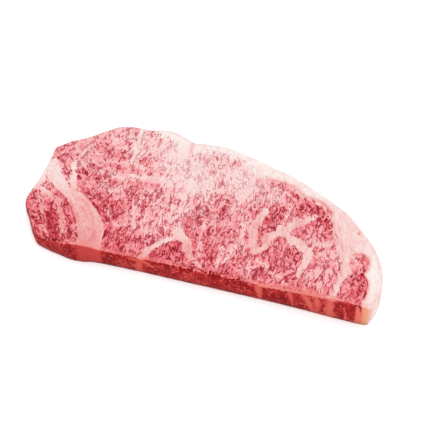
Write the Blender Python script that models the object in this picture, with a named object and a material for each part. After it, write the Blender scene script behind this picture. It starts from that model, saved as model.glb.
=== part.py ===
"""A raw sirloin steak: one thick slice of marbled beef, lying flat on its cut face.

The slice is one solid. Its plan has four sides: a straight front where the meat was cut from the
bone, a rounded fat end on the right, a long arc of fat along the back with a small fold in it, and
a blunt tail on the left. The wall is extruded down from the top face through a rounded upper edge,
a slightly bulging side and a rounded lower edge, and the underside is flat.

Metres, +Z up. +X runs along the straight front from the tail to the fat end, and +Y points to the
fat along the back. The origin is at the centre of the box, on the surface that the steak lies on.
"""

import math

import bmesh
import bpy
import numpy as np

MM = 0.001

# Plan of the top edge, in millimetres, measured from a point near the middle of the slice.
# Each side is a smooth curve through its points, and the sides meet at the slice's four corners.
FRONT_CUT = [(-97.6, -46.2), (-90.0, -48.3), (-82.0, -50.1), (-74.5, -51.6), (-67.0, -51.7), (-57.0, -50.2),
             (-30.0, -50.1), (0.0, -50.7), (40.0, -51.6), (65.0, -52.4), (90.0, -53.8), (112.8, -54.7)]
FAT_END = [(112.8, -54.7), (115.3, -50.5), (116.3, -44.0), (116.1, -34.5), (114.9, -25.6), (111.5, -16.2),
           (107.5, -9.2), (103.0, -3.2)]
FAT_BACK = [(103.0, -3.2), (94.3, 6.6), (84.8, 15.1), (69.6, 24.4), (49.7, 34.7), (27.8, 42.7), (9.0, 49.0),
            (-1.5, 51.0), (-12.0, 50.7), (-18.5, 50.5), (-23.5, 50.9), (-30.5, 53.8), (-38.0, 56.4),
            (-46.0, 55.8), (-54.0, 54.1), (-63.5, 54.3), (-72.9, 52.2), (-81.0, 46.9), (-89.2, 39.9),
            (-102.8, 30.6), (-109.2, 24.6)]
TAIL = [(-109.2, 24.6), (-109.4, 17.0), (-109.7, 7.8), (-110.6, -1.4), (-112.3, -10.1), (-113.8, -19.3),
        (-111.6, -24.9), (-107.8, -30.3), (-101.2, -41.6), (-97.6, -46.2)]
PLAN_CENTRE = (1.14, 1.08)  # middle of the plan's box, which becomes the origin

THICKNESS = 15.2  # at the middle of the slice
WEDGE = 1.8  # thicker by this at the fat end, and thinner by it at the tail
HALF_LENGTH = 115.0

# Rounding of the upper and lower edge along each side, how far the lower edge sits inside the
# upper one, and how far the side swells out between them.
EDGE_RADIUS = {"front": 1.3, "end": 2.6, "back": 2.8, "tail": 2.2}
LOWER_RADIUS = {"front": 0.9, "end": 2.0, "back": 2.2, "tail": 1.4}
UNDERCUT = {"front": 0.1, "end": 1.8, "back": 1.2, "tail": 0.4}
BULGE = {"front": 0.25, "end": 0.9, "back": 1.2, "tail": 0.7}
CORNER_BLEND = 7.0  # along the edge, over which one side's values pass into the next one's

# Broad swellings and hollows of the top face: place, reach along X and Y, and height.
SWELLINGS = [
    ((-68.0, -52.0), (7.0, 14.0), 4.0),  # end of the broad fat wedge, which stands proud
    ((-91.0, -50.0), (9.0, 12.0), -3.2),  # thin corner of the tail
    ((-114.0, -25.0), (12.0, 16.0), -2.4),  # drooping tip of the tail
    ((24.0, -55.0), (26.0, 16.0), -1.5),  # lean that has settled along the front
    ((84.0, -53.0), (20.0, 26.0), 3.0),  # lean and fat standing proud near the fat end
    ((111.0, -48.0), (7.0, 14.0), 1.2),  # corner of the fat end
    ((-55.0, 18.0), (30.0, 22.0), 0.7),  # crown of the large muscle on the left
    ((60.0, 2.0), (22.0, 18.0), 0.5),  # crown of the muscle on the right
    ((-10.0, 44.0), (26.0, 9.0), -0.6),  # shallow saddle along the thin fat of the back
]
# The fold in the fat is a shallow valley that starts at the notch and runs in between two muscles.
FOLD_LINE = [(-22.5, 53.0), (-22.0, 40.0), (-20.5, 24.0), (-17.0, 8.0)]
FOLD_WIDTH = 3.2
FOLD_DEPTH = 0.9

LENGTH_CELLS = 62
WIDTH_CELLS = 28
UPPER_EDGE_RINGS = 3
WALL_RINGS = 4
LOWER_EDGE_RINGS = 2


def smooth_curve(points, samples=16):
    """Points along a Catmull-Rom curve through the given points."""
    p = np.array(points, float)
    p = np.vstack([2 * p[0] - p[1], p, 2 * p[-1] - p[-2]])
    curve = []
    for a, b, c, d in zip(p[:-3], p[1:-2], p[2:-1], p[3:]):
        for t in np.arange(samples) / samples:
            curve.append(0.5 * (2 * b + (c - a) * t + (2 * a - 5 * b + 4 * c - d) * t**2
                                + (3 * b - a - 3 * c + d) * t**3))
    return np.array(curve + [p[-2]])


def evenly_spaced(curve, cells):
    """The curve as cells + 1 points, each the same distance along it from the last."""
    along = np.concatenate([[0], np.cumsum(np.linalg.norm(np.diff(curve, axis=0), axis=1))])
    wanted = np.linspace(0, along[-1], cells + 1)
    return np.stack([np.interp(wanted, along, curve[:, k]) for k in range(2)], axis=1)


def plan_ring():
    """The plan's outline, anticlockwise from the front left corner, with the side of each point."""
    sides = [("front", FRONT_CUT, LENGTH_CELLS), ("end", FAT_END, WIDTH_CELLS),
             ("back", FAT_BACK, LENGTH_CELLS), ("tail", TAIL, WIDTH_CELLS)]
    points, names = [], []
    for name, landmarks, cells in sides:
        side = evenly_spaced(smooth_curve(landmarks), cells)[:-1]
        points.append(side - PLAN_CENTRE)
        names += [name] * cells
    return np.vstack(points), names


def outward_normals(ring):
    """Unit normals of a closed anticlockwise ring."""
    along = np.roll(ring, -1, axis=0) - np.roll(ring, 1, axis=0)
    normals = np.stack([along[:, 1], -along[:, 0]], axis=1)
    return normals / np.linalg.norm(normals, axis=1, keepdims=True)


def blended_round(ring, names, values):
    """A value for each side, passed smoothly round the corners over CORNER_BLEND."""
    at_points = np.array([values[name] for name in names])
    step = np.linalg.norm(np.roll(ring, -1, axis=0) - ring, axis=1).mean()
    reach = max(1, round(CORNER_BLEND / step))
    for _ in range(reach):
        at_points = (np.roll(at_points, 1) + 2 * at_points + np.roll(at_points, -1)) / 4
    return at_points


def distance_to_line(xy, line):
    """Distance from each point to a polyline."""
    nearest = np.full(len(xy), np.inf)
    for a, b in zip(np.array(line[:-1], float), np.array(line[1:], float)):
        along = np.clip(((xy - a) @ (b - a)) / ((b - a) @ (b - a)), 0, 1)
        nearest = np.minimum(nearest, np.linalg.norm(xy - (a + along[:, None] * (b - a)), axis=1))
    return nearest


def top_height(xy):
    """Height of the top face over each point of the plan, in millimetres."""
    height = THICKNESS + WEDGE * np.sin(np.clip(xy[:, 0] / HALF_LENGTH, -1, 1) * math.pi / 2)
    for place, reach, rise in SWELLINGS:
        offset = (xy - (np.array(place) - PLAN_CENTRE)) / np.array(reach)
        height += rise * np.exp(-0.5 * (offset**2).sum(axis=1))
    fold = distance_to_line(xy, np.array(FOLD_LINE) - PLAN_CENTRE)
    return height - FOLD_DEPTH * np.exp(-((fold / FOLD_WIDTH) ** 2))


def coons_patch(ring):
    """A grid of points that fills the ring, whose own points lie on the ring's four sides."""
    nx, ny = LENGTH_CELLS, WIDTH_CELLS
    closed = np.vstack([ring, ring[:1]])
    front = closed[: nx + 1]
    end = closed[nx : nx + ny + 1]
    back = closed[nx + ny : 2 * nx + ny + 1][::-1]
    tail = closed[2 * nx + ny :][::-1]
    u = np.linspace(0, 1, nx + 1)[None, :, None]
    v = np.linspace(0, 1, ny + 1)[:, None, None]
    between_front_and_back = (1 - v) * front[None] + v * back[None]
    between_tail_and_end = (1 - u) * tail[:, None] + u * end[:, None]
    corners = ((1 - u) * (1 - v) * front[0] + u * (1 - v) * front[-1]
               + (1 - u) * v * back[0] + u * v * back[-1])
    return between_front_and_back + between_tail_and_end - corners


def top_face(bm, ring):
    """A grid primitive laid over the plan inside the ring, with the ring's vertices in its order."""
    made = bmesh.ops.create_grid(bm, x_segments=LENGTH_CELLS, y_segments=WIDTH_CELLS, size=1)["verts"]
    patch = coons_patch(ring)
    heights = top_height(patch.reshape(-1, 2)).reshape(patch.shape[:2])
    by_cell = {}
    for vertex in made:
        i = round((vertex.co.x + 1) / 2 * LENGTH_CELLS)
        j = round((vertex.co.y + 1) / 2 * WIDTH_CELLS)
        vertex.co = (*patch[j, i], heights[j, i])
        by_cell[i, j] = vertex
    nx, ny = LENGTH_CELLS, WIDTH_CELLS
    cells = [(i, 0) for i in range(nx)] + [(nx, j) for j in range(ny)]
    cells += [(i, ny) for i in range(nx, 0, -1)] + [(0, j) for j in range(ny, 0, -1)]
    return [by_cell[cell] for cell in cells]


def wall_rings(ring, names):
    """The rings below the top face, from the upper edge to the flat underside: x, y and z each."""
    normals = outward_normals(ring)
    radius = blended_round(ring, names, EDGE_RADIUS)
    undercut = blended_round(ring, names, UNDERCUT)
    bulge = blended_round(ring, names, BULGE)
    lower_radius = blended_round(ring, names, LOWER_RADIUS)
    upper = top_height(ring)
    rings = []
    for k in range(1, UPPER_EDGE_RINGS + 1):
        turn = math.pi / 2 * k / UPPER_EDGE_RINGS
        inset = radius * (1 - math.sin(turn))
        rings.append((inset, upper - radius * (1 - math.cos(turn))))
    shoulder = upper - radius
    for k in range(1, WALL_RINGS + 1):
        down = k / WALL_RINGS
        inset = undercut * down - bulge * math.sin(math.pi * down)
        rings.append((inset, shoulder + (lower_radius - shoulder) * down))
    for k in range(1, LOWER_EDGE_RINGS + 1):
        turn = math.pi / 2 * k / LOWER_EDGE_RINGS
        inset = undercut + lower_radius * (1 - math.cos(turn))
        rings.append((inset, lower_radius * (1 - math.sin(turn))))
    return [np.column_stack([ring - normals * np.reshape(inset, (-1, 1)), z]) for inset, z in rings]


def extrude_ring(bm, vertices, places):
    """Extrudes an open edge loop to new places and returns the new loop's vertices in order."""
    edges = [bm.edges.get((a, b)) for a, b in zip(vertices, vertices[1:] + vertices[:1])]
    made = bmesh.ops.extrude_edge_only(bm, edges=edges)["geom"]
    new_vertices = {g for g in made if isinstance(g, bmesh.types.BMVert)}
    ordered = []
    for old in vertices:
        ordered.append(next(e.other_vert(old) for e in old.link_edges if e.other_vert(old) in new_vertices))
    for vertex, place in zip(ordered, places):
        vertex.co = place
    return ordered


def steak_mesh():
    ring, names = plan_ring()
    radius = blended_round(ring, names, EDGE_RADIUS)
    inner = ring - outward_normals(ring) * radius[:, None]
    bm = bmesh.new()
    loop = top_face(bm, inner)
    for places in wall_rings(ring, names):
        loop = extrude_ring(bm, loop, places)
    bm.faces.new(loop)
    bmesh.ops.recalc_face_normals(bm, faces=bm.faces)
    bmesh.ops.scale(bm, vec=(MM, MM, MM), verts=bm.verts)
    mesh = bpy.data.meshes.new("steak")
    bm.to_mesh(mesh)
    bm.free()
    mesh.shade_smooth()
    mesh.set_sharp_from_angle(angle=math.radians(40))
    return mesh


def raw_meat():
    material = bpy.data.materials.new("marbled_beef")
    material.use_nodes = True
    shader = material.node_tree.nodes["Principled BSDF"]
    shader.inputs["Base Color"].default_value = (0.72, 0.22, 0.24, 1)
    shader.inputs["Roughness"].default_value = 0.42
    shader.inputs["Metallic"].default_value = 0
    return material


def main():
    for old in list(bpy.data.objects):
        bpy.data.objects.remove(old, do_unlink=True)
    collection = bpy.data.collections.new("sirloin_steak")
    bpy.context.scene.collection.children.link(collection)
    steak = bpy.data.objects.new("steak", steak_mesh())
    steak.data.materials.append(raw_meat())
    collection.objects.link(steak)


main()
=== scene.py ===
import math

import bpy
import numpy as np
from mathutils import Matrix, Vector, noise


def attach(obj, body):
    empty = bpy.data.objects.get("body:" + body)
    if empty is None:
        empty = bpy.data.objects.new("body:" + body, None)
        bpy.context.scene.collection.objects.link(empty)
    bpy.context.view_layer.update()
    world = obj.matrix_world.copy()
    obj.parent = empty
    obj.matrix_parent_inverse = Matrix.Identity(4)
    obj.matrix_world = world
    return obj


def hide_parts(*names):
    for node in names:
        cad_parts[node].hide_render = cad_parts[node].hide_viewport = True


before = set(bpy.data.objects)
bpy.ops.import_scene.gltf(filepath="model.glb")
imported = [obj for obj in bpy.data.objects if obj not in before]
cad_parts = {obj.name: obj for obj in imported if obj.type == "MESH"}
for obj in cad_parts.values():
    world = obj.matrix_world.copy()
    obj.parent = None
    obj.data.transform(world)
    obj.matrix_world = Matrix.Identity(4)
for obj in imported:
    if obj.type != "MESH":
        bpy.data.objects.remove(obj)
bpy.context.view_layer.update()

# A raw sirloin steak on a pale floor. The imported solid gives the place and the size, and one fine
# mesh over the same named outline stands for it, with the fat seams, the marbling and the cut
# sides.
#
# Plan places below are millimetres from a point near the middle of the slice: X runs along the
# straight front cut from the tail to the fat end, and Y points to the fat along the back.

MM = 0.001

# Plan of the upper edge, side by side, as in the solid.
FRONT_CUT = [(-97.6, -46.2), (-90.0, -48.3), (-82.0, -50.1), (-74.5, -51.6), (-67.0, -51.7),
             (-57.0, -50.2), (-30.0, -50.1), (0.0, -50.7), (40.0, -51.6), (65.0, -52.4),
             (90.0, -53.8), (112.8, -54.7)]
FAT_END = [(112.8, -54.7), (115.3, -50.5), (116.3, -44.0), (116.1, -34.5), (114.9, -25.6),
           (111.5, -16.2), (107.5, -9.2), (103.0, -3.2)]
FAT_BACK = [(103.0, -3.2), (94.3, 6.6), (84.8, 15.1), (69.6, 24.4), (49.7, 34.7), (27.8, 42.7),
            (9.0, 49.0), (-1.5, 51.0), (-12.0, 50.7), (-18.5, 50.5), (-23.5, 50.9), (-30.5, 53.8),
            (-38.0, 56.4), (-46.0, 55.8), (-54.0, 54.1), (-63.5, 54.3), (-72.9, 52.2),
            (-81.0, 46.9), (-89.2, 39.9), (-102.8, 30.6), (-109.2, 24.6)]
TAIL = [(-109.2, 24.6), (-109.4, 17.0), (-109.7, 7.8), (-110.6, -1.4), (-112.3, -10.1),
        (-113.8, -19.3), (-111.6, -24.9), (-107.8, -30.3), (-101.2, -41.6), (-97.6, -46.2)]
PLAN_CENTRE = (1.14, 1.08)  # middle of the plan's box, which becomes the origin

THICKNESS = 15.2  # at the middle of the slice
WEDGE = 1.8  # thicker by this at the fat end, and thinner by it at the tail
HALF_LENGTH = 115.0

# Rounding of the upper and lower edge along each side, how far the lower edge sits inside the
# upper one, and how far the side swells out between them.
EDGE_RADIUS = {"front": 1.3, "end": 2.6, "back": 2.8, "tail": 2.2}
LOWER_RADIUS = {"front": 0.9, "end": 2.0, "back": 2.2, "tail": 1.4}
UNDERCUT = {"front": 0.1, "end": 1.8, "back": 1.2, "tail": 0.4}
BULGE = {"front": 0.25, "end": 0.9, "back": 1.2, "tail": 0.7}
CORNER_BLEND = 7.0  # along the edge, over which one side's values pass into the next one's
CORNER_TURN = 5.0  # along the edge, over which the rings inside it turn at a corner

# Broad swellings and hollows of the top face: place, reach along X and Y, and height.
SWELLINGS = [
    ((-68.0, -52.0), (7.0, 14.0), 4.0),  # end of the broad fat wedge, which stands proud
    ((-91.0, -50.0), (9.0, 12.0), -3.2),  # thin corner of the tail
    ((-114.0, -25.0), (12.0, 16.0), -2.4),  # drooping tip of the tail
    ((24.0, -55.0), (26.0, 16.0), -1.5),  # lean that has settled along the front
    ((84.0, -53.0), (20.0, 26.0), 3.0),  # lean and fat standing proud near the fat end
    ((111.0, -48.0), (7.0, 14.0), 1.2),  # corner of the fat end
    ((-55.0, 18.0), (30.0, 22.0), 0.7),  # crown of the large muscle on the left
    ((60.0, 2.0), (22.0, 18.0), 0.5),  # crown of the muscle on the right
    ((-10.0, 44.0), (26.0, 9.0), -0.6),  # shallow saddle along the thin fat of the back
]
# The fold in the fat is a shallow valley that starts at the notch and runs in between two muscles.
FOLD_LINE = [(-22.5, 53.0), (-22.0, 40.0), (-20.5, 24.0), (-17.0, 8.0)]
FOLD_WIDTH = 3.2
FOLD_DEPTH = 0.9

LENGTH_CELLS = 300
WIDTH_CELLS = 130
UPPER_EDGE_RINGS = 5
WALL_RINGS = 14
LOWER_EDGE_RINGS = 3
TOP_UNEVENNESS = 0.22  # mm

# Edge of the lean along the fat that runs round the right end and the back.
FAT_CAP = [(84, -53), (87.5, -44), (89, -33), (88, -25), (86, -17), (84, -10), (80.8, -1.4),
           (77.4, 5.5), (74.6, 11), (69.9, 15.2), (65, 18.6), (59.5, 19.5), (56, 20.5),
           (53.5, 23.5), (48, 26), (42, 27.6), (36, 28.6), (29, 29), (22, 33), (15, 39), (4, 42),
           (-9, 42), (-18, 40), (-27, 37), (-31, 42), (-38, 46.5), (-45, 49.5), (-54, 55),
           (-54, 62), (30, 62), (125, 25), (125, -60), (84, -60)]
# Broad wedge of fat between the large muscle and the tail.
FAT_WEDGE = [(-112, 11), (-104, 12), (-100, 7), (-97, 2), (-93, -1), (-88, -8), (-84, -9.5),
             (-80, -10), (-74, -14), (-68, -19), (-63, -24), (-59, -29), (-56.5, -36), (-55.5, -43),
             (-54, -50), (-54, -58), (-69, -58), (-69.5, -50), (-71, -42), (-74, -35), (-79, -28),
             (-84, -22), (-90, -17), (-95, -12), (-102, -7), (-106, -3), (-112, 0)]
# Lean inside the fat of the right end: a small lobe and a larger one that reaches the front cut.
SMALL_LOBE = [(99.5, -14.5), (104, -16.5), (105.4, -21.5), (104, -27), (103, -31), (98.5, -31),
              (96.4, -28), (94.6, -23), (95.4, -17.5)]
LARGE_LOBE = [(101, -28), (105.5, -31.5), (107.4, -37), (106.4, -45), (103.5, -58), (91, -58),
              (91.5, -47), (92.3, -40), (93.8, -34), (97, -30.5)]

# Clean fat seams: the middle line, then the width at its start and end.
SEAMS = [
    # streak in the large muscle
    ([(-57.5, 53), (-57.2, 46), (-57, 39), (-56.6, 32), (-56.2, 25), (-55.8, 20)], 3.4, 2.2),
    ([(-57.1, 39), (-56.5, 31)], 2.5, 4.2),
    # short band in the middle of the large muscle
    ([(-53, 10.6), (-46, 10.7), (-38, 11.2), (-31, 12), (-27, 9)], 2.4, 3.8),
    ([(-45, 10.9), (-33, 11.6)], 4.6, 4.8),
    # fork above the triangular muscle at the front cut
    ([(-10, -25), (-13, -30), (-18, -35), (-22, -39.5), (-27, -46), (-30, -53)], 3.6, 4.4),
    ([(-12, -26), (-7, -30), (-3.5, -35), (-0.5, -40), (2, -43)], 7.4, 3.4),
    # branching seam of the right muscle
    ([(36.5, 4), (34.8, -3), (33.2, -9), (33, -16), (34.8, -23), (37.5, -27.5)], 4.6, 5.6),
    ([(24.5, -10), (29, -12.5), (33, -15.5)], 2.0, 4.4),
    ([(37.5, -27), (41.5, -23.5), (43, -18), (46.3, -13)], 3.6, 4.6),
    ([(40, -17), (43.5, -15), (47, -12.7), (52, -11.8), (57.5, -14.4), (63.2, -16.8),
      (67.6, -20.5)], 4.4, 7.0),
    ([(67.4, -20), (68.2, -26.5), (67.4, -33), (66.2, -39)], 6.0, 3.4),
    ([(51.5, -11), (53.5, -6.5), (57.5, -2), (62.5, 2.4), (66, 6)], 6.4, 2.4),
    ([(48.5, -11), (48, -6)], 4.0, 2.4),
    # thin fat rim of the tail's upper corner
    ([(-113, 0), (-110, 8), (-108.5, 15), (-108, 22), (-101, 30), (-90, 40.5)], 4.6, 1.2),
    ([(-113, -19), (-110.4, -12.5), (-109.2, -6), (-109, 2)], 2.4, 7.0),
    # streak beside the broad wedge
    ([(-92, 13), (-89.5, 4), (-87, -5), (-83, -10)], 2.4, 5.2),
    # bands of the tail
    ([(-108, -13), (-98, -18), (-92, -23), (-87, -29), (-84, -36), (-81, -43)], 3.0, 2.6),
    ([(-105, -20), (-100, -29), (-96, -37), (-91, -46)], 1.2, 1.0),
]

# Fat and lean of the front cut's own side: middle line in X and Z, and width at its start and end.
FRONT_FAT = [
    ([(-40, 17), (-34, 13.5), (-27, 12), (-21, 9)], 6.0, 2.0),
    ([(-41, 6), (-40.5, 0)], 0.8, 1.2),
    ([(44, 18), (44.6, 12), (46, 6), (46.6, 0)], 5.0, 2.8),
    ([(63.6, 19), (64.6, 12), (66.6, 0)], 3.0, 1.2),
    ([(70, 20), (72.9, 15), (76.8, 8), (79, 0)], 5.0, 2.2),
    ([(80, 20), (81.2, 9), (82, 0)], 3.2, 2.0),
    ([(96.6, 14), (98.2, 8), (98.6, 0)], 0.8, 2.2),
    ([(104.6, 21), (104.9, 15), (105.7, 10), (105.9, 0)], 1.8, 5.0),
]
FRONT_LEAN = [
    ([(107, 17.6), (106.9, 14.4)], 1.6, 1.0),
    ([(-52, 17), (-50, 12), (-49, 6), (-49, 0)], 5.0, 7.0),
]

# Slender strips of lean laid over the fat: middle line, and width at its start and end.
LEAN_STRIPS = [
    ([(-101, 11), (-97.5, 5), (-93, -1), (-88, -8)], 3.4, 1.0),
    ([(-100, -11), (-92, -15), (-84, -21), (-79, -28)], 0.8, 1.2),
    ([(37, -15.5), (37.8, -20), (38.8, -23)], 2.4, 3.0),
]

# Amount of pigment: 0 is white fat, 1 the deepest lean. Each place has a centre, a reach and a
# change.
LEAN_PIGMENT = 0.445
LEAN_PLACES = [
    # pale, finely marbled middle of the back
    ((0, 27), (20, 14), -0.16),
    ((-24, 30), (9, 16), -0.16),
    ((-7, 12), (6, 7), -0.24),
    ((-28, 11), (4, 3), -0.16),
    ((20, 22), (7, 13), -0.20),
    ((41, 16), (5, 6), -0.14),
    # large muscle on the left
    ((-42, 34), (12, 11), -0.16),
    ((-76, 42), (20, 9), -0.07),
    ((-86, 18), (9, 6), -0.04),
    ((-62, 8), (8, 3.5), -0.08),
    ((-61, -4), (5, 2.5), -0.12),
    ((-46, 26), (3, 4), 0.24),
    ((-36, 6), (3, 2.5), 0.16),
    ((-80, 6), (6, 5), 0.10),
    ((-67, 27), (9, 3), 0.06),
    ((-78, 38), (2.5, 5), 0.14),
    ((-64, -14), (11, 5), 0.10),
    ((-52, -40), (6, 14), 0.10),
    ((-40, -44), (9, 6), 0.05),
    ((-33, -20), (10, 11), -0.07),
    # middle
    ((-10, -42), (9, 7), 0.10),
    ((-23.4, -46.7), (2.5, 3), 0.12),
    ((-17, 2), (3, 14), -0.10),
    ((12, -3), (4, 5), 0.12),
    ((14, -13), (5, 3.5), -0.14),
    ((26, -6), (3, 6), -0.06),
    ((2, -28), (12, 14), 0.05),
    # right muscle
    ((35, -42), (5, 5), -0.14),
    ((79, -34), (10, 16), -0.10),
    ((56, 0), (4, 3), -0.12),
    ((70, 10), (9, 8), 0.12),
    ((44, 0), (6, 9), 0.10),
    ((55, -29), (10, 9), 0.04),
    ((38.5, -20), (2, 4), 0.14),
    # small clumps here and there
    ((30, -46), (5, 4), 0.09),
    ((-33, 0), (5, 5), -0.09),
    ((-29, -36), (4, 5), -0.09),
    ((-2, -7), (7, 7), -0.08),
    ((61, -50), (6, 4), 0.08),
    ((53, -1), (4, 3), 0.08),
    ((19, 3), (4, 4), 0.08),
    ((-80, 12), (5, 5), -0.08),
    ((70, -29), (4, 5), 0.08),
    ((-57, 13), (5, 3), 0.08),
    ((-76, 45), (7, 4), -0.07),
    # lobes of the right end and the tail
    ((101, -38), (7, 12), 0.10),
    ((97, -23), (2.5, 5), -0.13),
    ((-92, -36), (6, 9), 0.08),
    ((-104, -8), (5, 7), -0.08),
    ((-84, -36), (5, 12), 0.02),
]
# Hazy seams, which only thin out the lean: middle line, width and share.
HAZE_PIGMENT = 0.23
HAZES = [
    ([(-23, 49), (-22, 42), (-21, 35), (-20, 25), (-19, 15), (-17, 5)], 3.0, 0.7),
    ([(-16, 4), (-15, -6), (-17, -16), (-20, -26)], 1.4, 0.8),
    ([(-10, -4), (-12, -14), (-12.5, -22), (-12, -27)], 1.8, 0.8),
    ([(-52, 32), (-47, 33), (-42, 31), (-35, 27)], 2.2, 0.9),
    ([(-54, 28), (-52, 21), (-47, 18)], 1.6, 0.8),
    ([(-44, -11), (-43.5, -17), (-42, -22), (-40, -28)], 2.4, 0.5),
    ([(2, -14), (3, -24), (5, -40)], 1.2, 0.7),
    ([(3, -44), (8, -48)], 1.6, 0.7),
    ([(17.5, -30), (18, -48)], 1.6, 0.8),
    ([(25, -20), (24, -31), (21, -40)], 1.6, 0.8),
    ([(18, 22), (19, 8), (17, -2)], 1.8, 0.7),
    ([(27, -8), (28, -20), (31, -32)], 1.3, 0.7),
    ([(-34.5, -9), (-35, -18), (-34, -27)], 1.2, 0.9),
    ([(-27, -4), (-25, -14), (-26, -30)], 1.5, 0.7),
    ([(-21, -6), (-20, -20), (-22, -33)], 1.3, 0.7),
    ([(-74, 10), (-66, 8), (-58, 8)], 1.4, 0.6),
    ([(-67, -2), (-61, -5), (-57, -10)], 1.6, 0.7),
    ([(-58, -18), (-56, -24), (-52, -29), (-46, -29)], 1.4, 0.6),
    ([(-90, 10), (-89, 22), (-84, 30)], 1.4, 0.6),
    ([(-74, 14), (-66, 22), (-60, 30)], 1.2, 0.5),
    ([(-74, 46), (-73, 36)], 1.8, 0.5),
    ([(51, 9), (50, 0), (48, -8)], 1.2, 0.9),
    ([(38, 12), (37, 20), (34, 27)], 1.4, 0.7),
    ([(68, -12), (74, -14), (80, -12)], 1.8, 0.7),
    ([(40, -34), (50, -40), (60, -47)], 1.6, 0.6),
]
# Streaks of deeper red: middle line, width and change.
DEEP_STREAKS = [
    ([(-112, -24), (-106, -32), (-100, -40), (-95, -44.5), (-86, -47), (-76, -49)], 3.4, 0.08),
    ([(60, 16.5), (67, 15), (71.5, 10.5), (75, 4.5), (77, -3)], 3.0, 0.06),
    ([(36, 26.5), (43, 25), (50, 22.5), (54, 19)], 1.8, 0.14),
    ([(-104, -24), (-99, -34), (-94, -43)], 1.3, 0.10),
    ([(-99, -23), (-94, -31), (-88, -42), (-84, -49)], 2.4, 0.12),
    ([(-89, -23), (-82, -30), (-77, -38), (-74, -46)], 1.7, 0.12),
]
FAT_PIGMENT = 0.15
FAT_PLACES = [
    ((-66, -42), (12, 13), 0.17),
    ((-80, -20), (9, 8), 0.09),
    ((-92, -32), (13, 15), 0.15),
    ((-101, -30), (6, 10), 0.08),
    ((-40, 12), (12, 4), 0.12),
    ((-55, 30), (5, 14), 0.07),
    ((-27, -46), (5, 6), 0.08),
    ((55, -14), (14, 8), 0.05),
    ((41, -17), (4, 4), 0.06),
    ((66, -36), (6, 10), 0.04),
    ((92, -4), (9, 20), 0.05),
    # Painted light: the rounded fat end made whiter, against the shade on it.
    ((112, -28), (6, 22), -0.20),
    ((44, 29), (10, 2.0), 0.05),
    ((35, -12), (7, 17), 0.15),
    ((61, 0), (7, 8), 0.15),
    ((1, -40), (5, 6), 0.14),
    ((-2, -34), (3, 4), 0.08),
    ((-57, 46), (5, 7), 0.07),
    ((66, 26), (22, 5), -0.03),
    ((79, 12), (5, 5), 0.06),
    ((96, 0.5), (0.8, 0.8), 0.30),
    ((109, -55), (6, 4), -0.10),
    ((-62, -55), (9, 5), 0.12),
]
# Softness of the fat's border in mm, and where it is softer or crisper.
SOFTNESS = 0.8
SOFT_PLACES = [
    ((-5, 42), (28, 8), 2.6),
    ((22, 33), (14, 7), 1.2),
    ((46, 27), (12, 5), 1.0),
    ((72, 14), (8, 8), 0.7),
    ((86, -36), (7, 16), 1.6),
    ((80, 2), (5, 14), 0.8),
    ((-44, 44), (10, 8), 1.2),
    ((-70, -20), (16, 14), -0.45),
    ((-92, -30), (12, 12), 0.5),
    ((102, -32), (12, 24), -0.62),
]
# Thin membranes in the fat and along the muscles: line and change of pigment.
MEMBRANES = [
    ([(-46, 54), (-38, 53.7), (-30, 51), (-23.5, 48.3), (-16, 47.8), (-5, 48.2)], 0.14),
    ([(-22.5, 52), (-21.8, 45), (-21, 37)], 0.12),
    ([(106, -8), (110, -18), (112.2, -30), (113, -42), (112, -52)], 0.09),
    ([(109, -12), (113, -24), (114.8, -36), (114.8, -46)], 0.12),
    ([(82, 6), (86.5, -8), (89.5, -22), (90.2, -34)], 0.08),
    ([(95, -17), (99.5, -14.2), (104.4, -16.3), (105.8, -21.5), (104.6, -26.5),
      (102.5, -29.5)], 0.25),
    ([(94.4, -20), (95, -25), (98, -29.5)], 0.14),
    ([(102.5, -29.5), (105.8, -31.5), (107.8, -37), (107.2, -43), (106.8, -47)], 0.25),
    ([(98, -29.5), (94.5, -33), (92.5, -39), (91.5, -47)], 0.14),
    ([(-84, -9), (-79, -10), (-74, -14), (-68, -19), (-63, -24), (-59, -29)], 0.22),
    ([(-104, -7), (-97, -11.5), (-90, -17), (-84, -22), (-79, -28), (-75, -35)], 0.16),
]
MEMBRANE_WIDTH = 0.8
# Fat that is pinker beside the lean: line, width and change.
BLUSHES = [
    ([(34, 29.2), (42, 28.6), (48, 27), (53.5, 24.5), (58, 21), (66, 19.8), (71.5, 17),
      (76, 12.5)], 1.6, 0.26),
    ([(76, 12.5), (79, 6.5), (82, -1), (84.5, -11)], 1.4, 0.10),
    ([(-106, 24), (-98, 30.5), (-88, 38)], 1.6, 0.10),
    ([(-22.5, 52), (-21.5, 42), (-20, 30), (-18, 18)], 1.2, 0.10),
    ([(-102, 10), (-94, 0), (-85, -9)], 1.0, 0.06),
    ([(-99, -1), (-90, -10), (-80, -19)], 1.0, -0.06),
    ([(-86, -14), (-76, -24), (-68, -37)], 1.0, -0.05),
    ([(-76, -16), (-66, -28), (-61, -42)], 1.0, 0.07),
]

# Directions that the flecks of lean follow, in degrees from +X, and where each holds: centre and
# reach.
GRAINS = [
    (68.0, [((-96, 24), (10, 8)), ((60, -44), (12, 7)), ((-26, -42), (9, 7)), ((-30, 22), (8, 8))]),
    (88.0, [((-45, -10), (20, 30)), ((-30, -16), (14, 26)), ((28, -15), (18, 30)),
            ((-64, 12), (8, 12)), ((78, -32), (12, 18)), ((-20, 10), (12, 26)),
            ((-58, 36), (14, 10))]),
    (99.0, [((0, -25), (10, 26)), ((4, 20), (18, 20)), ((54, 2), (14, 22)), ((74, 5), (8, 14)),
            ((100, -38), (8, 16))]),
    (132.0, [((-78, -8), (12, 8)), ((-97, 4), (6, 10)), ((-90, -33), (17, 20)),
             ((-78, 24), (8, 8))]),
]
GRAIN_FLOOR = 0.02  # what each direction counts for where none of its places reaches
FLECK_SIZE = (5.6, 2.5, 9.0)  # mm along the grain, across it and down through the slice

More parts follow.
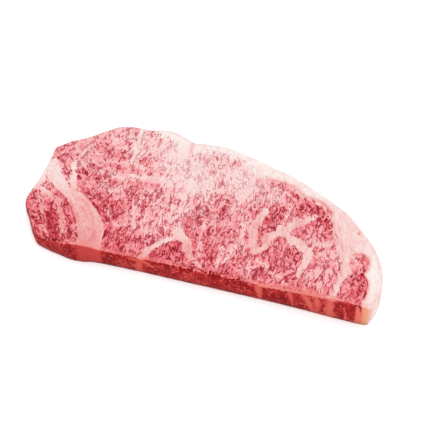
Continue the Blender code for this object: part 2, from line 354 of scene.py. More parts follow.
# How the places above are passed on to the meat. Two noises bend their lines and a third one
# changes how wide the seams are.
WARP_SIZES = (9.0, 3.6)  # mm
WARP_SHARE = 0.6  # of the finer noise
SHAPE_WARP = 0.4  # share of the bend that the outlined shapes take, where seams take all of it
SIDE_WARP = 0.5  # share that the bands of the front cut take
GIRTH_SIZE = 5.0  # mm
GIRTH_CHANGE = 0.3
OFF_FRONT = 12.0  # mm by which the front cut's own bands are kept off the other faces
# Painted light: the pigment falls towards the back, so the top is paler where the light is
# stronger.
LEAN_FALL = 900.0  # mm of Y over which the pigment of the lean falls by 1
FAT_FALL = 500.0  # the same for the fat
FAT_RANGE = (-6.0, 8.0)  # mm inside the fat, beyond which its depth is cut off

# The relief of the faces, as shares of each face's unevenness.
FAT_RELIEF = 0.6  # by which fat stands proud of lean
FAT_RELIEF_REACH = 1.5  # mm to either side of the border, over which it rises
RELIEF_SIZES = (9.0, 3.2)  # mm
RELIEF_SHARE = 0.5  # of the finer noise

LIP_WIDTH = 1.7  # mm of the top face, along the front cut, with a redder painted shade
# Where ragged patches of the sides' painted shade creep over the front edge, as middle and reach
# along X, then how far they creep in mm.
CREEP_PLACES = [(17.0, 22.0), (-86.0, 9.0)]
CREEP_WIDTH = 3.6
# Painted shade: how far each side is painted darker and redder, for the shade on the front and
# tail sides. The tail's side loses it over these mm of Y.
SIDE_SHADE = {"front": 1.0, "end": 0.0, "back": 0.0, "tail": 0.85}
SIDE_SHADE_ALONG = ((-18.0, 12.0), (1.0, 0.3))
FRONT_ALONE = {"front": 1.0, "end": 0.0, "back": 0.0, "tail": 0.0}
# Painted highlight along the top of the cut side, pale and ragged: its depth, and its share along
# X.
RIM_DEPTH = 3.0
RIM_ALONG = ((36, 46, 90, 97), (0, 1, 1, 0.3))
FOOT_SHADOW_HEIGHT = 1.9  # mm above the floor over which a painted contact shadow darkens the sides
UNEVENNESS = {"front": 0.2, "end": 0.35, "back": 0.5, "tail": 0.4}  # mm

# Noise behind each pattern of the surface: scale per mm, detail and distortion.
PATCHY_NOISE = (0.12, 2.0, 0.6)
FINE_NOISE = (0.9, 2.0, 0.0)
MOTTLE_NOISE = (0.24, 1.2, 1.6)
FLECK_NOISE = (1.0, 1.6, 1.1)  # scale per fleck here
# Lines drawn where a noise passes a level: the level, and how far off it they are full and gone.
STROKE_LINE = (0.53, 0.035, 0.085)
VEIN_LINE = (0.40, 0.02, 0.06)
THREAD_LINE = (0.47, 0.015, 0.05)
CLUMP_FADE = (0.42, 0.58)
MOTTLE_FADE = (0.38, 0.62)
# Strokes show where a noise passes this fade, sooner by the share in lean deeper than the middle
# one and in its patches. They are weaker in pale lean.
STROKE_FADE = (0.44, 0.50)
STROKE_EAGERNESS = 0.08
MIDDLE_LEAN = 0.4
PALE_LEAN = (0.16, 0.38)
PALE_STROKES = 0.6

# Thin fat seams part the lean into bundles, which are stretched and wander. The gap between two
# bundles is wider in pale lean and in its pale patches.
BUNDLE_SIZE = 7.5  # mm
BUNDLE_STRETCH = (1.0, 0.7, 0.45)
BUNDLE_BEND = 9.0  # mm
BEND_NOISE = {"Scale": 0.24, "Detail": 2.0}
BUNDLE_GAP = 0.22
GAP_CHANGE = -0.30
BUNDLE_SEAM = (-0.05, 0.04)
BUNDLE_RIM = ((0.0, 0.05), (0.08, 0.18))

# What each pattern adds to the pigment of the lean and of the fat, on the top and on the side.
LEAN_MIX = {"clumps": 0.075, "patchy": 0.13, "fine": 0.12, "seams": -0.15, "rims": 0.06,
            "veins": -0.13}
FAT_MIX = {"patchy": 0.12, "fine": 0.22, "clumps": 0.08}
SIDE_LEAN_MIX = {"mottle": 0.15, "thread": -0.22, "strokes": 0.10, "fine": 0.15}
SIDE_FAT_MIX = {"patchy": 0.12, "fine": 0.10}
SIDE_SHADE_DEEPER = 0.14  # painted shade: pigment that the lean of the side has beyond the top's
STROKE_PIGMENT = 0.22
STROKE_SHADE = 0.44  # how far the strokes of the cut fibres hide the colour below them
STROKE_SHADE_IN_LIP = -0.5
# The palest that the patterns make the lean: a share of its own pigment, or this if that is more.
PALEST_SHARE = 0.72
PALEST = 0.13
PALEST_BLEND = 0.06
# The border of the fat: what shifts it, in shares of its softness, and over how many it passes.
BORDER_SHIFT = 0.3
BORDER_MIX = {"clumps": -0.5, "strokes": -0.7, "edge": 1.1}
BORDER_FADE = 0.8
# The painted shade of the sides: how it creeps, where it shows, painted light that pales the fat
# where it begins and ends, and what it does to thin fat.
CREEP_MIX = {"edge": 1.0, "mottle": 0.12}
CREEP_FADE = 0.12
CREEP_SHARE = 0.95
SIDE_SHADE_FADE = (0.3, 0.8)
SIDE_SHADE_EDGE = ((0.3, 0.6), (0.75, 1.0))
SIDE_SHADE_EDGE_LIGHT = -0.15
THIN_FAT = (0.3, 2.6)  # mm
THIN_FAT_CHANGE = 0.06
LIP_SHARE = 0.45
LIP_RAGGEDNESS = 1.6
FOOT_SHADOW_SHARE = 0.85
RIM_SHIFT = -0.5
RIM_GAIN = 0.9
RIM_MIX = {"edge": 0.7, "mottle": 0.10}
RIM_FADE = 0.22

# Colours as the camera sees them, 0 to 255, by the amount of pigment or in one place.
LEAN_COLOURS = [
    (0.0, (255, 243, 239)),
    (0.12, (253, 225, 221)),
    (0.26, (252, 196, 196)),
    (0.40, (249, 157, 163)),
    (0.55, (235, 112, 121)),
    (0.70, (207, 64, 79)),
    (0.85, (177, 30, 46)),
    (1.0, (141, 14, 27)),
]
FAT_COLOURS = [
    (0.0, (254, 244, 240)),
    (0.12, (251, 225, 221)),
    (0.26, (248, 198, 194)),
    (0.42, (240, 158, 157)),
    (0.60, (227, 119, 119)),
]
# Painted shade: the ramp of the sides, darker and redder than the top's.
SHADED_SIDE_COLOURS = [
    (0.0, (248, 168, 128)),
    (0.20, (239, 113, 100)),
    (0.40, (211, 73, 67)),
    (0.60, (182, 26, 34)),
    (0.80, (150, 9, 18)),
    (1.0, (100, 6, 10)),
]
STROKE_COLOUR = (116, 34, 42)
# Painted shade along the front edge of the top.
LIP_SHADE_COLOUR = (246, 138, 130)
# Painted contact shadow at the foot of the sides.
FOOT_SHADOW_COLOUR = (126, 62, 58)
# Painted highlight along the top of the cut side.
RIM_HIGHLIGHT_COLOUR = (243, 140, 128)

BUMP = {"Strength": 0.35, "Distance": 0.12 * MM}
BUMP_MIX = {"clumps": -0.5, "strokes": -0.5}
MEAT_ROUGHNESS = 0.42
MEAT_SPECULAR = 0.05

CAMERA_ELEVATION = math.radians(52.0)
CAMERA_AZIMUTH = math.radians(14.3)
CAMERA_DISTANCE = 0.700  # m
CAMERA_TARGET = (7.907, 1.480)  # the place on the floor in the middle of the picture
CAMERA_LENS = 90.0  # mm
CAMERA_SENSOR = 36.0  # mm
SEEN_AT = 15.5  # height at which the places above were read from the picture

SKY = 1.22
SUN = 0.80
SUN_SPREAD = math.radians(60)
SUN_FROM = (0.1, -0.25, 1.0)
LIGHT = SKY + SUN / math.pi  # what a white level face sends to the eye
FLOOR_SIZE = 6.0  # m
FLOOR_COLOUR = (0.98, 0.98, 0.98, 1)
FLOOR_ROUGHNESS = 0.8


def seen(red, green, blue):
    """The colour that looks like this, 0 to 255, on a level face under the studio's light."""
    linear = [v / 255 / 12.92 if v <= 10 else ((v / 255 + 0.055) / 1.055) ** 2.4
              for v in (red, green, blue)]
    return tuple(v / LIGHT for v in linear) + (1.0,)


def smooth_curve(points, samples=16):
    """Points along a Catmull-Rom curve through the given points."""
    p = np.array(points, float)
    p = np.vstack([2 * p[0] - p[1], p, 2 * p[-1] - p[-2]])
    curve = []
    for a, b, c, d in zip(p[:-3], p[1:-2], p[2:-1], p[3:]):
        for t in np.arange(samples) / samples:
            curve.append(0.5 * (2 * b + (c - a) * t + (2 * a - 5 * b + 4 * c - d) * t**2
                                + (3 * b - a - 3 * c + d) * t**3))
    return np.array(curve + [p[-2]])


def evenly_spaced(curve, cells):
    """The curve as cells + 1 points, each the same distance along it from the last."""
    along = np.concatenate([[0], np.cumsum(np.linalg.norm(np.diff(curve, axis=0), axis=1))])
    wanted = np.linspace(0, along[-1], cells + 1)
    return np.stack([np.interp(wanted, along, curve[:, k]) for k in range(2)], axis=1)


def plan_ring():
    """The plan's outline, anticlockwise from the front left corner, with the side of each point."""
    sides = [("front", FRONT_CUT, LENGTH_CELLS), ("end", FAT_END, WIDTH_CELLS),
             ("back", FAT_BACK, LENGTH_CELLS), ("tail", TAIL, WIDTH_CELLS)]
    points, names = [], []
    for name, landmarks, cells in sides:
        points.append(evenly_spaced(smooth_curve(landmarks), cells)[:-1])
        names += [name] * cells
    return np.vstack(points), names


def passed_round(ring, values, reach):
    """The values at the ring's points, evened out along it over the reach in mm."""
    step = np.linalg.norm(np.roll(ring, -1, axis=0) - ring, axis=1).mean()
    for _ in range(round((reach / step) ** 2 / 3)):
        values = (np.roll(values, 1, axis=0) + 2 * values + np.roll(values, -1, axis=0)) / 4
    return values


def blended_round(ring, names, values):
    """A value for each side, passed smoothly round the corners."""
    return passed_round(ring, np.array([values[name] for name in names]), CORNER_BLEND)


def unit_rows(vectors):
    return vectors / np.linalg.norm(vectors, axis=1, keepdims=True)


def outward_normals(ring):
    """Unit normals of a closed anticlockwise ring, which turn gradually at its corners."""
    along = np.roll(ring, -1, axis=0) - np.roll(ring, 1, axis=0)
    normals = unit_rows(np.stack([along[:, 1], -along[:, 0]], axis=1))
    return unit_rows(passed_round(ring, normals, CORNER_TURN))


def nearest_along(xy, a, b):
    """For each point, the nearest place on the line from a to b, 0 to 1, and how far off it is."""
    along = np.clip(((xy - a) @ (b - a)) / ((b - a) @ (b - a)), 0, 1)
    return along, np.linalg.norm(xy - (a + along[:, None] * (b - a)), axis=1)


def band_depth(xy, line, start_width, end_width, girth=1.0):
    """How deep each point lies inside a band along a line, in mm: negative outside it."""
    points = smooth_curve(line, 4)
    halves = np.linspace(start_width, end_width, len(points)) / 2
    depth = np.full(len(xy), -np.inf)
    for a, b, half_a, half_b in zip(points[:-1], points[1:], halves[:-1], halves[1:]):
        along, away = nearest_along(xy, a, b)
        depth = np.maximum(depth, girth * (half_a + (half_b - half_a) * along) - away)
    return depth


def shape_depth(xy, corners):
    """How deep each point lies inside a closed, smoothed shape, in mm: negative outside it."""
    ring = smooth_curve(corners, 4)
    away = np.full(len(xy), np.inf)
    inside = np.zeros(len(xy), bool)
    for a, b in zip(ring, np.roll(ring, -1, axis=0)):
        away = np.minimum(away, nearest_along(xy, a, b)[1])
        if a[1] != b[1]:
            crosses = (a[1] > xy[:, 1]) != (b[1] > xy[:, 1])
            reach = a[0] + (xy[:, 1] - a[1]) * (b[0] - a[0]) / (b[1] - a[1])
            inside ^= crosses & (xy[:, 0] < reach)
    return np.where(inside, away, -away)


def wander(points, size, seed):
    """Smooth noise from about -1 to 1 at each point, with features of the given size in mm."""
    shift = Vector((17.3 * seed, -9.1 * seed, 4.7 * seed))
    return np.array([noise.noise(Vector(p) / size + shift) for p in points])


def two_wanders(points, sizes, share, seed):
    """A coarse noise plus a share of a finer one."""
    return wander(points, sizes[0], seed) + share * wander(points, sizes[1], seed + 1)


def hump(xy, place, reach):
    """A smooth hill of height 1 with its top at the place."""
    offset = (xy - np.array(place)) / np.array(reach)
    return np.exp(-0.5 * (offset**2).sum(axis=1))


def fade_out(away, width):
    """1 at no distance, and falling smoothly to 0 over about the width."""
    return np.exp(-((away / width) ** 2))


def line_hump(xy, line, width):
    """A smooth ridge of height 1 along a line."""
    return fade_out(band_depth(xy, line, 0, 0), width)


def top_height(xy):
    """Height of the top face over each point of the plan, in millimetres."""
    row_x = xy[:, 0] - PLAN_CENTRE[0]
    height = THICKNESS + WEDGE * np.sin(np.clip(row_x / HALF_LENGTH, -1, 1) * math.pi / 2)
    for place, reach, rise in SWELLINGS:
        height += rise * hump(xy, place, reach)
    return height - FOLD_DEPTH * line_hump(xy, FOLD_LINE, FOLD_WIDTH)


def coons_patch(ring):
    """A grid of points that fills the ring, whose own points lie on the ring's four sides."""
    nx, ny = LENGTH_CELLS, WIDTH_CELLS
    closed = np.vstack([ring, ring[:1]])
    front = closed[: nx + 1]
    end = closed[nx : nx + ny + 1]
    back = closed[nx + ny : 2 * nx + ny + 1][::-1]
    tail = closed[2 * nx + ny :][::-1]
    u = np.linspace(0, 1, nx + 1)[None, :, None]
    v = np.linspace(0, 1, ny + 1)[:, None, None]
    corners = ((1 - u) * (1 - v) * front[0] + u * (1 - v) * front[-1]
               + (1 - u) * v * back[0] + u * v * back[-1])
    between = (1 - v) * front[None] + v * back[None] + (1 - u) * tail[:, None] + u * end[:, None]
    return (between - corners).reshape(-1, 2)


def wall_rings(ring, names, normals):
    """The rings from the upper edge down to the floor, as an inset and a height at each point."""
    radius = blended_round(ring, names, EDGE_RADIUS)
    undercut = blended_round(ring, names, UNDERCUT)
    bulge = blended_round(ring, names, BULGE)
    lower_radius = blended_round(ring, names, LOWER_RADIUS)
    upper = top_height(ring - normals * radius[:, None])
    shoulder = upper - radius
    rings = []
    for turn in np.linspace(0, math.pi / 2, UPPER_EDGE_RINGS + 1):
        rings.append((radius * (1 - math.sin(turn)), upper - radius * (1 - math.cos(turn))))
    for down in np.linspace(0, 1, WALL_RINGS + 1)[1:]:
        inset = undercut * down - bulge * math.sin(math.pi * down)
        rings.append((inset, shoulder + (lower_radius - shoulder) * down))
    for turn in np.linspace(0, math.pi / 2, LOWER_EDGE_RINGS + 1)[1:]:
        inset = undercut + lower_radius * (1 - math.cos(turn))
        rings.append((inset, lower_radius * (1 - math.sin(turn))))
    return rings


def grid_border():
    """The patch's border points in the ring's order, as numbers of its rows of points."""
    nx, ny = LENGTH_CELLS, WIDTH_CELLS
    cells = [(0, i) for i in range(nx)] + [(j, nx) for j in range(ny)]
    cells += [(ny, i) for i in range(nx, 0, -1)] + [(j, 0) for j in range(ny, 0, -1)]
    return np.array([j * (nx + 1) + i for j, i in cells])


def grid_faces():
    nx, ny = LENGTH_CELLS, WIDTH_CELLS
    corner = (np.arange(ny)[:, None] * (nx + 1) + np.arange(nx)[None, :]).reshape(-1)
    return np.stack([corner, corner + 1, corner + nx + 2, corner + nx + 1], axis=1)


def steak_points():
    """Vertices in drawing millimetres, the faces, and what side_shares says of each vertex."""
    ring, names = plan_ring()
    normals = outward_normals(ring)
    loops = [np.column_stack([ring - normals * inset[:, None], z])
             for inset, z in wall_rings(ring, names, normals)]
    top = coons_patch(loops[0][:, :2])
    top = np.column_stack([top, top_height(top)])
    under = coons_patch(loops[-1][:, :2])
    under = np.column_stack([under, np.zeros(len(under))])
    points = np.vstack([top] + loops[1:-1] + [under])
    under_start = len(points) - len(under)
    numbers = [grid_border()]
    for start in range(len(top), under_start, len(ring)):
        numbers.append(start + np.arange(len(ring)))
    numbers.append(under_start + grid_border())
    faces = [grid_faces(), under_start + grid_faces()[:, ::-1]]
    for upper, lower in zip(numbers[:-1], numbers[1:]):
        faces.append(np.stack([upper, lower, np.roll(lower, -1), np.roll(upper, -1)], axis=1))
    shares, uneven = side_shares(points, ring, names, numbers, len(top))
    return points, np.vstack(faces), shares, uneven


def side_shares(points, ring, names, numbers, top_count):
    """Shares of the sides at each vertex, by name, and how uneven the face is there in mm.

    The numbers are the vertices of each loop, from the top face's border to the underside's.
    """
    under = slice(len(points) - top_count, None)
    # Painted shade of the sides, strongest on the front and the tail.
    side_shade_round = blended_round(ring, names, SIDE_SHADE) * np.interp(ring[:, 1], *SIDE_SHADE_ALONG)
    front_round = blended_round(ring, names, FRONT_ALONE)
    # Painted highlight along the upper rim of the front side.
    rim_highlight_round = front_round * np.interp(ring[:, 0], *RIM_ALONG)
    uneven_round = blended_round(ring, names, UNEVENNESS)
    side_shade, side, front, low, lip, rim_highlight = np.zeros((6, len(points)))
    side[under] = 1
    uneven = np.full(len(points), TOP_UNEVENNESS)
    uneven[under] = 0

    top = points[:top_count]
    columns = np.arange(top_count) % (LENGTH_CELLS + 1)
    from_front = np.linalg.norm(top - top[columns], axis=1)
    # Painted shade along the front edge of the top, and over the front side.
    lip[:top_count] = front_round[columns] * fade_out(from_front, LIP_WIDTH)
    # Ragged patches of the sides' painted shade over the front edge.
    creep = sum(hump(points[:, :1], place, reach) for place, reach in CREEP_PLACES)
    creep[:top_count] *= front_round[columns] * fade_out(from_front, CREEP_WIDTH)
    creep[under] = 0

    for k, number in enumerate(numbers[:-1]):
        on_side = min(1.0, k / UPPER_EDGE_RINGS)
        above_floor = min(1.0, (len(numbers) - 1 - k) / LOWER_EDGE_RINGS)
        height = points[number, 2]
        side[number] = on_side
        front[number] = front_round * on_side
        side_shade[number] = side_shade_round * on_side
        lip[number] = np.maximum(lip[number], front_round)
        rim_highlight[number] = rim_highlight_round * fade_out(points[numbers[0], 2] - height, RIM_DEPTH)
        # Painted contact shadow near the floor.
        low[number] = np.exp(-height / FOOT_SHADOW_HEIGHT)
        uneven[number] = (TOP_UNEVENNESS + (uneven_round - TOP_UNEVENNESS) * on_side) * above_floor
        if k > 0:
            creep[number] *= front_round
    return {"side_shade": side_shade, "low": low, "lip": lip, "creep": creep, "rim_highlight": rim_highlight,
            "side": side, "front": front}, uneven


def fat_depths(points, level, warp, front):
    """How deep each point lies inside the fat, in mm: negative in the lean."""
    xy = level + SHAPE_WARP * warp
    girth = 1 + GIRTH_CHANGE * wander(points, GIRTH_SIZE, 7)
    fat = np.maximum(shape_depth(xy, FAT_CAP), shape_depth(xy, FAT_WEDGE))
    for line, start, end in SEAMS:
        fat = np.maximum(fat, band_depth(level + warp, line, start, end, girth))
    for lobe in (SMALL_LOBE, LARGE_LOBE):
        fat = np.minimum(fat, -shape_depth(xy, lobe))
    for line, start, end in LEAN_STRIPS:
        fat = np.minimum(fat, -band_depth(xy, line, start, end, girth))
    upright = points[:, (0, 2)] + SIDE_WARP * warp
    off_front = OFF_FRONT * (1 - front)
    for line, start, end in FRONT_FAT:
        fat = np.maximum(fat, band_depth(upright, line, start, end, girth) - off_front)
    for line, start, end in FRONT_LEAN:
        fat = np.minimum(fat, off_front - band_depth(upright, line, start, end, girth))
    return np.clip(fat, *FAT_RANGE)


def add_places(values, xy, places):
    for place, reach, change in places:
        values += change * hump(xy, place, reach)


def add_lines(values, xy, lines):
    for line, width, change in lines:
        values += change * line_hump(xy, line, width)


def grain_weights(xy):
    """How far each direction of the grain holds at each point."""
    weights = [sum(hump(xy, place, reach) for place, reach in places) + GRAIN_FLOOR
               for _, places in GRAINS]
    weights = np.stack(weights, axis=1) ** 4
    return weights / np.sqrt((weights**2).sum(axis=1, keepdims=True))


def meat_fields(points, front):
    """Fields over the slice, which run straight down through its thickness."""
    warp = np.column_stack([two_wanders(points, WARP_SIZES, WARP_SHARE, seed) for seed in (1, 3)])
    # From the height that the places were read at to the point's own, along the camera's view.
    above = (top_height(points[:, :2]) - SEEN_AT) / math.tan(CAMERA_ELEVATION)
    toward = np.array([-math.sin(CAMERA_AZIMUTH), math.cos(CAMERA_AZIMUTH)])
    level = points[:, :2] + above[:, None] * toward
    xy = level + SHAPE_WARP * warp
    lines = sum(change * line_hump(xy, line, MEMBRANE_WIDTH) for line, change in MEMBRANES)
    # Painted light: the lean and the fat paler towards the back.
    lean = LEAN_PIGMENT - xy[:, 1] / LEAN_FALL + lines
    add_places(lean, xy, LEAN_PLACES)
    for line, width, share in HAZES:
        lean += share * (HAZE_PIGMENT - lean) * line_hump(xy, line, width)
    add_lines(lean, xy, DEEP_STREAKS)
    tone = FAT_PIGMENT - xy[:, 1] / FAT_FALL + lines
    add_places(tone, xy, FAT_PLACES)
    add_lines(tone, xy, BLUSHES)
    soft = np.full(len(points), SOFTNESS)
    add_places(soft, xy, SOFT_PLACES)
    fields = {"fat": fat_depths(points, level, warp, front), "lean": lean, "tone": tone,
              "soft": soft}
    for k, weight in enumerate(grain_weights(xy).T):
        fields[f"grain_{k}"] = weight
    return fields


def steak_object():
    points, faces, shares, uneven = steak_points()
    fields = meat_fields(points, shares.pop("front"))
    proud = np.clip(fields["fat"] / FAT_RELIEF_REACH, -1, 1)
    relief = FAT_RELIEF * proud * (1 - shares.pop("side"))
    relief += two_wanders(points, RELIEF_SIZES, RELIEF_SHARE, 5)
    mesh = bpy.data.meshes.new("marbled_steak")
    mesh.from_pydata((points - (*PLAN_CENTRE, 0)) * MM, [], faces.tolist())
    mesh.shade_smooth()
    places = np.empty(3 * len(points), np.float32)
    normals = np.empty(3 * len(points), np.float32)
    mesh.vertices.foreach_get("co", places)
    mesh.vertex_normals.foreach_get("vector", normals)
    moved = places + normals * np.repeat(relief * uneven * MM, 3)
    mesh.vertices.foreach_set("co", moved.astype(np.float32))
    for name, values in (fields | shares).items():
        layer = mesh.attributes.new(name, "FLOAT", "POINT")
        layer.data.foreach_set("value", values.astype(np.float32))
    mesh.update()
    steak = bpy.data.objects.new("marbled_steak", mesh)
    bpy.context.scene.collection.objects.link(steak)
    return steak


class Shader:
    """A small wrapper that adds nodes to a material and joins them."""

    def __init__(self, name):
        self.material = bpy.data.materials.new(name)
        self.material.use_nodes = True
        self.tree = self.material.node_tree
        self.principled = self.tree.nodes["Principled BSDF"]

    def add(self, kind, inputs, output=0, **settings):
        node = self.tree.nodes.new(kind)
        for key, value in settings.items():
            setattr(node, key, value)
        for key, value in inputs.items():
            self.set(node.inputs[key], value)
        return node.outputs[output]

    def set(self, socket, value):
        if isinstance(value, bpy.types.NodeSocket):
            self.tree.links.new(value, socket)
        else:
            socket.default_value = value

    def math(self, operation, *values):
        return self.add("ShaderNodeMath", dict(enumerate(values)), operation=operation)

    def vector(self, operation, *values):
        return self.add("ShaderNodeVectorMath", dict(enumerate(values)), operation=operation)

    def field(self, name):
        return self.add("ShaderNodeAttribute", {}, "Fac", attribute_name=name)

    def spread(self, value, low, high, start=0.0, end=1.0):
        """The value passed smoothly from low to high, as start to end."""
        inputs = {"Value": value, "From Min": low, "From Max": high, "To Min": start, "To Max": end}
        return self.add("ShaderNodeMapRange", inputs, interpolation_type="SMOOTHSTEP")

    def line(self, value, level, full, gone):
        """1 where the value is at the level, and 0 where it is off by more than gone."""
        off = self.math("ABSOLUTE", self.math("SUBTRACT", value, level))
        return self.spread(off, full, gone, 1.0, 0.0)

    def between(self, value, rise, fall):
        """1 between the rise and the fall of the value, and 0 outside both."""
        return self.math("MULTIPLY", self.spread(value, *rise), self.spread(value, *fall, 1.0, 0.0))

    def sum(self, start, *parts):
        """The start plus each part times its factor."""
        total = start
        for value, factor in parts:
            total = self.math("MULTIPLY_ADD", value, factor, total)
        return total

    def mixed(self, start, patterns, factors):
        """The start plus each named pattern times its factor."""
        return self.sum(start, *((patterns[name], factor) for name, factor in factors.items()))

    def blend(self, share, first, second):
        return self.add("ShaderNodeMix", {"Factor": share, 2: first, 3: second})

    def mix(self, share, first, second):
        """The first colour passed into the second, which may be 0 to 255 as the camera sees it."""
        node = self.tree.nodes.new("ShaderNodeMix")
        node.data_type = "RGBA"
        self.set(node.inputs["Factor"], share)
        self.set(node.inputs[6], first)
        self.set(node.inputs[7], seen(*second) if isinstance(second, tuple) else second)
        return node.outputs[2]

    def ramp(self, value, stops):
        """The colour at the value, from stops with colours as the camera sees them."""
        node = self.tree.nodes.new("ShaderNodeValToRGB")
        elements = node.color_ramp.elements
        while len(elements) < len(stops):
            elements.new(0.5)
        for element, (place, colour) in zip(elements, stops):
            element.position = place
            element.color = seen(*colour)
        self.set(node.inputs["Fac"], value)
        return node.outputs["Color"]

    def noises(self, place, scale, detail, distortion):
        """Three unlike noises, 0 to 1, over the same places."""
        inputs = {"Vector": place, "Scale": scale, "Detail": detail, "Distortion": distortion}
        both = self.add("ShaderNodeTexNoise", inputs, "Color")
        parts = self.tree.nodes.new("ShaderNodeSeparateColor")
        self.set(parts.inputs["Color"], both)
        return parts.outputs


def grain_patterns(s, in_mm, patchy):
    """Clumps, strokes and veins of the lean, along the directions of the grain that hold there."""
    deeper = s.math("SUBTRACT", s.field("lean"), MIDDLE_LEAN)
    eager = s.sum(0.0, (deeper, STROKE_EAGERNESS), (patchy, STROKE_EAGERNESS))
    clumps, strokes, veins = 0.0, 0.0, 0.0
    for k, (angle, _) in enumerate(GRAINS):
        turn = (0, 0, -math.radians(angle))
        turned = s.add("ShaderNodeMapping", {"Vector": in_mm, "Rotation": turn},
                       vector_type="POINT")
        scaled = s.vector("MULTIPLY", turned, tuple(1 / size for size in FLECK_SIZE))
        clump, level, eagerness = s.noises(scaled, *FLECK_NOISE)
        clump = s.spread(clump, *CLUMP_FADE, -0.5, 0.5)
        shown = s.spread(s.math("ADD", eagerness, eager), *STROKE_FADE)
        stroke = s.math("MULTIPLY", s.line(level, *STROKE_LINE), shown)
        vein = s.line(level, *VEIN_LINE)
        weight = s.field(f"grain_{k}")
        clumps = s.sum(clumps, (clump, weight))
        strokes = s.sum(strokes, (stroke, weight))
        veins = s.sum(veins, (vein, weight))
    strength = s.spread(s.field("lean"), *PALE_LEAN, PALE_STROKES, 1.0)
    return {"clumps": clumps, "strokes": s.math("MULTIPLY", strokes, strength), "veins": veins}


def bundle_patterns(s, in_mm, patchy):
    """The fat seams between the bundles of the lean, and the rims of the bundles beside them."""
    bend = s.add("ShaderNodeTexNoise", {"Vector": in_mm, **BEND_NOISE}, "Color")
    bend = s.vector("SUBTRACT", bend, (0.5, 0.5, 0.5))
    bent = s.vector("MULTIPLY_ADD", bend, (BUNDLE_BEND, BUNDLE_BEND, BUNDLE_BEND), in_mm)
    stretched = {"Vector": s.vector("MULTIPLY", bent, BUNDLE_STRETCH), "Scale": 1 / BUNDLE_SIZE}
    from_edge = s.add("ShaderNodeTexVoronoi", stretched, "Distance", feature="DISTANCE_TO_EDGE")
    gap = s.sum(BUNDLE_GAP, (s.field("lean"), GAP_CHANGE), (patchy, GAP_CHANGE))
    inside = s.math("SUBTRACT", from_edge, gap)
    return {"seams": s.spread(inside, *BUNDLE_SEAM, 1.0, 0.0),
            "rims": s.between(inside, *BUNDLE_RIM)}


def meat_patterns(s, in_mm):
    """Every pattern of the surface, by name."""
    patchy = s.math("SUBTRACT", s.noises(in_mm, *PATCHY_NOISE)[0], 0.5)
    fine, edge, _ = s.noises(in_mm, *FINE_NOISE)
    mottle, thread, _ = s.noises(in_mm, *MOTTLE_NOISE)
    return {
        "patchy": patchy,
        "fine": s.math("SUBTRACT", fine, 0.5),
        "edge": s.math("SUBTRACT", edge, 0.5),
        "mottle": s.spread(mottle, *MOTTLE_FADE, -1.0, 1.0),
        "thread": s.line(thread, *THREAD_LINE),
        **grain_patterns(s, in_mm, patchy),
        **bundle_patterns(s, in_mm, patchy),
    }


def fat_share(s, patterns):
    """How far a point lies in the fat, 0 to 1, past a ragged border."""
    ragged = s.math("MULTIPLY", s.mixed(BORDER_SHIFT, patterns, BORDER_MIX), s.field("soft"))
    depth = s.math("DIVIDE", s.math("ADD", s.field("fat"), ragged), s.field("soft"))
    return s.spread(depth, -BORDER_FADE, BORDER_FADE)


def cut_face(s, patterns, in_fat):
    """Colour of the clean faces: strokes darken the lean and painted shade reddens the front edge.
    """
    lean = s.mixed(s.field("lean"), patterns, LEAN_MIX)
    palest = s.math("MULTIPLY", s.field("lean"), PALEST_SHARE)
    palest = s.math("SMOOTH_MAX", palest, PALEST, PALEST_BLEND)
    lean = s.math("SMOOTH_MAX", lean, palest, PALEST_BLEND)
    lean = s.sum(lean, (patterns["strokes"], STROKE_PIGMENT))
    tone = s.mixed(s.field("tone"), patterns, FAT_MIX)
    pigment = s.blend(in_fat, lean, tone)
    # Painted shade: a redder band where the top turns down to the front side.
    lip_shade = s.math("MULTIPLY", s.field("lip"), s.sum(LIP_SHARE, (patterns["edge"], LIP_RAGGEDNESS)))
    shade = s.sum(STROKE_SHADE, (lip_shade, STROKE_SHADE_IN_LIP))
    shade = s.math("MULTIPLY", patterns["strokes"], shade)
    lean_face = s.mix(shade, s.ramp(pigment, LEAN_COLOURS), STROKE_COLOUR)
    face = s.mix(in_fat, lean_face, s.ramp(pigment, FAT_COLOURS))
    return s.mix(lip_shade, face, LIP_SHADE_COLOUR)


def shaded_side_colour(s, patterns, in_fat, side_shaded):
    """Sides in painted shade, with painted contact shadow at the foot and painted highlight at the
    top.
    """
    # Painted shade: the side's lean deeper than the top's.
    lean = s.math("ADD", s.field("lean"), SIDE_SHADE_DEEPER)
    lean = s.mixed(lean, patterns, SIDE_LEAN_MIX)
    # Painted light: the fat paler where the side's painted shade begins and ends.
    fat = s.sum(s.mixed(s.field("tone"), patterns, SIDE_FAT_MIX),
                (s.between(side_shaded, *SIDE_SHADE_EDGE), SIDE_SHADE_EDGE_LIGHT),
                (s.spread(s.field("fat"), *THIN_FAT, 1.0, 0.0), THIN_FAT_CHANGE))
    side = s.ramp(s.blend(in_fat, lean, fat), SHADED_SIDE_COLOURS)
    # Painted contact shadow: the sides darken towards the floor.
    side = s.mix(s.math("MULTIPLY", s.field("low"), FOOT_SHADOW_SHARE), side, FOOT_SHADOW_COLOUR)
    # Painted highlight: a pale, ragged band along the top of the cut side.
    rim_highlight = s.mixed(s.sum(RIM_SHIFT, (s.field("rim_highlight"), RIM_GAIN)), patterns, RIM_MIX)
    return s.mix(s.spread(rim_highlight, 0.0, RIM_FADE), side, RIM_HIGHLIGHT_COLOUR)


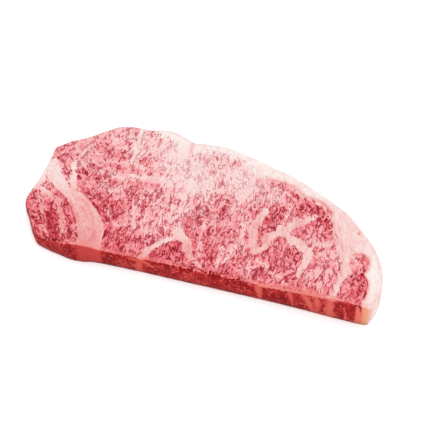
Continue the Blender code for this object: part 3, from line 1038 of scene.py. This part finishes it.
def meat_material():
    s = Shader("marbled_beef")
    place = s.add("ShaderNodeTexCoord", {}, "Object")
    patterns = meat_patterns(s, s.vector("MULTIPLY", place, (1 / MM, 1 / MM, 1 / MM)))
    in_fat = fat_share(s, patterns)
    # Ragged creep of the sides' painted shade over the front edge.
    ragged = s.spread(s.mixed(0.0, patterns, CREEP_MIX), -CREEP_FADE, CREEP_FADE)
    crept = s.math("MULTIPLY", s.field("creep"), ragged)
    # Painted shade of the sides, with its creep over the front edge.
    side_shaded = s.sum(s.field("side_shade"), (crept, CREEP_SHARE))
    colour = s.mix(s.spread(side_shaded, *SIDE_SHADE_FADE), cut_face(s, patterns, in_fat),
                   shaded_side_colour(s, patterns, in_fat, side_shaded))
    s.set(s.principled.inputs["Base Color"], colour)
    bump = s.add("ShaderNodeBump", {"Height": s.mixed(0.0, patterns, BUMP_MIX), **BUMP})
    s.set(s.principled.inputs["Normal"], bump)
    s.principled.inputs["Roughness"].default_value = MEAT_ROUGHNESS
    s.principled.inputs["Specular IOR Level"].default_value = MEAT_SPECULAR
    return s.material


def camera():
    """The photograph's view: looking down on the slice, a little from the right of its front."""
    target = Vector(((CAMERA_TARGET[0] - PLAN_CENTRE[0]) * MM,
                     (CAMERA_TARGET[1] - PLAN_CENTRE[1]) * MM, 0))
    back = Vector((math.sin(CAMERA_AZIMUTH) * math.cos(CAMERA_ELEVATION),
                   -math.cos(CAMERA_AZIMUTH) * math.cos(CAMERA_ELEVATION),
                   math.sin(CAMERA_ELEVATION)))
    data = bpy.data.cameras.new("camera")
    data.sensor_width = CAMERA_SENSOR
    data.lens = CAMERA_LENS
    made = bpy.data.objects.new("camera", data)
    made.location = target + back * CAMERA_DISTANCE
    made.rotation_euler = back.to_track_quat("Z", "Y").to_euler()
    bpy.context.scene.collection.objects.link(made)
    bpy.context.scene.camera = made


def studio():
    """A white sky, one broad sun and a pale floor."""
    scene = bpy.context.scene
    scene.view_settings.view_transform = "Standard"
    world = bpy.data.worlds.new("studio")
    world.use_nodes = True
    background = world.node_tree.nodes["Background"]
    background.inputs["Color"].default_value = (1.0, 1.0, 1.0, 1)
    background.inputs["Strength"].default_value = SKY
    scene.world = world
    sun = bpy.data.lights.new("key", "SUN")
    sun.energy = SUN
    sun.angle = SUN_SPREAD
    made = bpy.data.objects.new("key", sun)
    made.rotation_euler = Vector(SUN_FROM).to_track_quat("Z", "Y").to_euler()
    scene.collection.objects.link(made)
    bpy.ops.mesh.primitive_plane_add(size=FLOOR_SIZE, location=(0, 0, 0))
    floor = bpy.context.object
    floor.name = "floor"
    material = bpy.data.materials.new("pale_floor")
    material.use_nodes = True
    shader = material.node_tree.nodes["Principled BSDF"]
    shader.inputs["Base Color"].default_value = FLOOR_COLOUR
    shader.inputs["Roughness"].default_value = FLOOR_ROUGHNESS
    floor.data.materials.append(material)


camera()
studio()
steak = steak_object()
steak.data.materials.append(meat_material())
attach(steak, "root")
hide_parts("steak")
